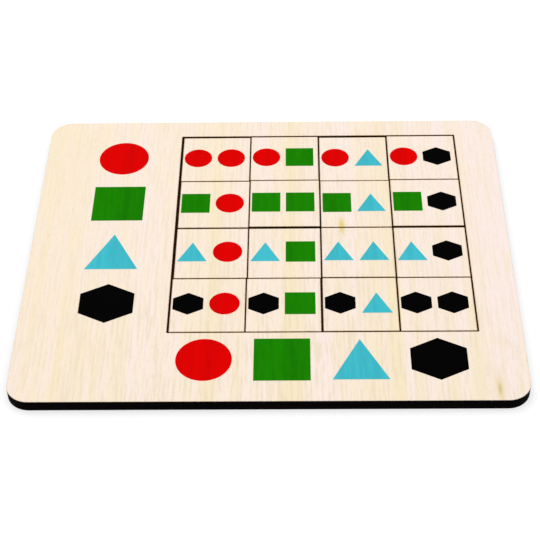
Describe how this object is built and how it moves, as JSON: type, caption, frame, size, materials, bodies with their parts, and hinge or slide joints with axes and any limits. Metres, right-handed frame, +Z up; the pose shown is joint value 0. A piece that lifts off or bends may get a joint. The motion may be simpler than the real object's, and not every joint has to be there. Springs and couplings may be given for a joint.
{
  "type": "coding sequence puzzle",
  "caption": "Flat wooden puzzle board whose square window holds loose square tiles, each printed with its row's shape and its column's shape to match large marks beside the window.",
  "frame": {"origin": "middle of the board's underside, which lies on the table", "axes": "+Z up out of the printed face, +X to the right along the long side, +Y away from the player towards the back edge"},
  "size_m": [0.26, 0.22, 0.0065],
  "materials": {
    "face_wood": "pale maple face, fine sanded, satin, inner cut edges charred brown, outer edge black",
    "base_wood": "dark brown hardboard, outer edge black",
    "ink_red": "thin printed ink, satin",
    "ink_green": "thin printed ink, satin",
    "ink_blue": "thin printed ink, satin",
    "ink_black": "thin printed ink, satin"
  },
  "bodies": {
    "tray": {"base_board": "base_wood", "frame_board": "face_wood", "ink_row_circle": "ink_red", "ink_row_square": "ink_green", "ink_row_triangle": "ink_blue", "ink_row_hexagon": "ink_black", "ink_column_circle": "ink_red", "ink_column_square": "ink_green", "ink_column_triangle": "ink_blue", "ink_column_hexagon": "ink_black"},
    "piece_circle_circle": {"tile_circle_circle": "face_wood", "ink_circle_circle_left": "ink_red", "ink_circle_circle_right": "ink_red"},
    "piece_circle_square": {"tile_circle_square": "face_wood", "ink_circle_square_left": "ink_red", "ink_circle_square_right": "ink_green"},
    "piece_circle_triangle": {"tile_circle_triangle": "face_wood", "ink_circle_triangle_left": "ink_red", "ink_circle_triangle_right": "ink_blue"},
    "piece_circle_hexagon": {"tile_circle_hexagon": "face_wood", "ink_circle_hexagon_left": "ink_red", "ink_circle_hexagon_right": "ink_black"},
    "piece_square_circle": {"tile_square_circle": "face_wood", "ink_square_circle_left": "ink_green", "ink_square_circle_right": "ink_red"},
    "piece_square_square": {"tile_square_square": "face_wood", "ink_square_square_left": "ink_green", "ink_square_square_right": "ink_green"},
    "piece_square_triangle": {"tile_square_triangle": "face_wood", "ink_square_triangle_left": "ink_green", "ink_square_triangle_right": "ink_blue"},
    "piece_square_hexagon": {"tile_square_hexagon": "face_wood", "ink_square_hexagon_left": "ink_green", "ink_square_hexagon_right": "ink_black"},
    "piece_triangle_circle": {"tile_triangle_circle": "face_wood", "ink_triangle_circle_left": "ink_blue", "ink_triangle_circle_right": "ink_red"},
    "piece_triangle_square": {"tile_triangle_square": "face_wood", "ink_triangle_square_left": "ink_blue", "ink_triangle_square_right": "ink_green"},
    "piece_triangle_triangle": {"tile_triangle_triangle": "face_wood", "ink_triangle_triangle_left": "ink_blue", "ink_triangle_triangle_right": "ink_blue"},
    "piece_triangle_hexagon": {"tile_triangle_hexagon": "face_wood", "ink_triangle_hexagon_left": "ink_blue", "ink_triangle_hexagon_right": "ink_black"},
    "piece_hexagon_circle": {"tile_hexagon_circle": "face_wood", "ink_hexagon_circle_left": "ink_black", "ink_hexagon_circle_right": "ink_red"},
    "piece_hexagon_square": {"tile_hexagon_square": "face_wood", "ink_hexagon_square_left": "ink_black", "ink_hexagon_square_right": "ink_green"},
    "piece_hexagon_triangle": {"tile_hexagon_triangle": "face_wood", "ink_hexagon_triangle_left": "ink_black", "ink_hexagon_triangle_right": "ink_blue"},
    "piece_hexagon_hexagon": {"tile_hexagon_hexagon": "face_wood", "ink_hexagon_hexagon_left": "ink_black", "ink_hexagon_hexagon_right": "ink_black"}
  },
  "joints": [
    {"name": "lift_circle_circle", "type": "slide", "parent": "tray", "child": "piece_circle_circle", "axis": [0, 0, 1], "range_m": [0, 0.03]},
    {"name": "lift_circle_square", "type": "slide", "parent": "tray", "child": "piece_circle_square", "axis": [0, 0, 1], "range_m": [0, 0.03]},
    {"name": "lift_circle_triangle", "type": "slide", "parent": "tray", "child": "piece_circle_triangle", "axis": [0, 0, 1], "range_m": [0, 0.03]},
    {"name": "lift_circle_hexagon", "type": "slide", "parent": "tray", "child": "piece_circle_hexagon", "axis": [0, 0, 1], "range_m": [0, 0.03]},
    {"name": "lift_square_circle", "type": "slide", "parent": "tray", "child": "piece_square_circle", "axis": [0, 0, 1], "range_m": [0, 0.03]},
    {"name": "lift_square_square", "type": "slide", "parent": "tray", "child": "piece_square_square", "axis": [0, 0, 1], "range_m": [0, 0.03]},
    {"name": "lift_square_triangle", "type": "slide", "parent": "tray", "child": "piece_square_triangle", "axis": [0, 0, 1], "range_m": [0, 0.03]},
    {"name": "lift_square_hexagon", "type": "slide", "parent": "tray", "child": "piece_square_hexagon", "axis": [0, 0, 1], "range_m": [0, 0.03]},
    {"name": "lift_triangle_circle", "type": "slide", "parent": "tray", "child": "piece_triangle_circle", "axis": [0, 0, 1], "range_m": [0, 0.03]},
    {"name": "lift_triangle_square", "type": "slide", "parent": "tray", "child": "piece_triangle_square", "axis": [0, 0, 1], "range_m": [0, 0.03]},
    {"name": "lift_triangle_triangle", "type": "slide", "parent": "tray", "child": "piece_triangle_triangle", "axis": [0, 0, 1], "range_m": [0, 0.03]},
    {"name": "lift_triangle_hexagon", "type": "slide", "parent": "tray", "child": "piece_triangle_hexagon", "axis": [0, 0, 1], "range_m": [0, 0.03]},
    {"name": "lift_hexagon_circle", "type": "slide", "parent": "tray", "child": "piece_hexagon_circle", "axis": [0, 0, 1], "range_m": [0, 0.03]},
    {"name": "lift_hexagon_square", "type": "slide", "parent": "tray", "child": "piece_hexagon_square", "axis": [0, 0, 1], "range_m": [0, 0.03]},
    {"name": "lift_hexagon_triangle", "type": "slide", "parent": "tray", "child": "piece_hexagon_triangle", "axis": [0, 0, 1], "range_m": [0, 0.03]},
    {"name": "lift_hexagon_hexagon", "type": "slide", "parent": "tray", "child": "piece_hexagon_hexagon", "axis": [0, 0, 1], "range_m": [0, 0.03]}
  ]
}
